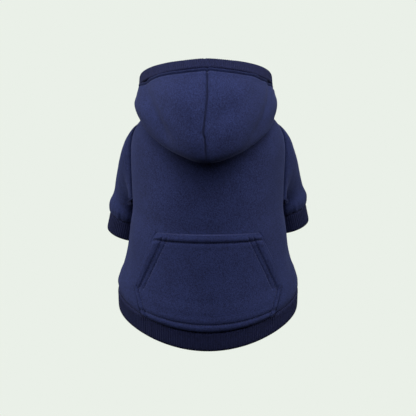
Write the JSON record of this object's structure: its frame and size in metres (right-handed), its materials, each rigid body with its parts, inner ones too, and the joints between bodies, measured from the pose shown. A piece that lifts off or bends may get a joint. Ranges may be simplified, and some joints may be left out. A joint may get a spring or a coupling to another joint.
{
  "type": "dog hoodie",
  "caption": "Pullover fleece hoodie for a small dog, hood down, with short sleeves, ribbed cuffs, hem and hood edge, and a pouch pocket on the back, in its worn shape.",
  "frame": {"origin": "middle of the neck seam, where the garment sits round the dog's neck", "axes": "-Y is the dog's back, where the hood lies and the pocket is; +Y its belly; +Z from the hem towards the neck; +X its right flank"},
  "size_m": [0.235, 0.2066, 0.3046],
  "materials": {
    "navy_fleece": "brushed fleece, matt",
    "navy_rib_knit": "rib knit, matt"
  },
  "bodies": {
    "root": {"back_panel": "navy_fleece", "belly_panel": "navy_fleece", "left_sleeve": "navy_fleece", "right_sleeve": "navy_fleece", "hood_left_panel": "navy_fleece", "hood_right_panel": "navy_fleece", "pocket": "navy_fleece", "hood_rim": "navy_rib_knit", "left_cuff": "navy_rib_knit", "right_cuff": "navy_rib_knit", "hem_band": "navy_rib_knit"}
  },
  "joints": []
}
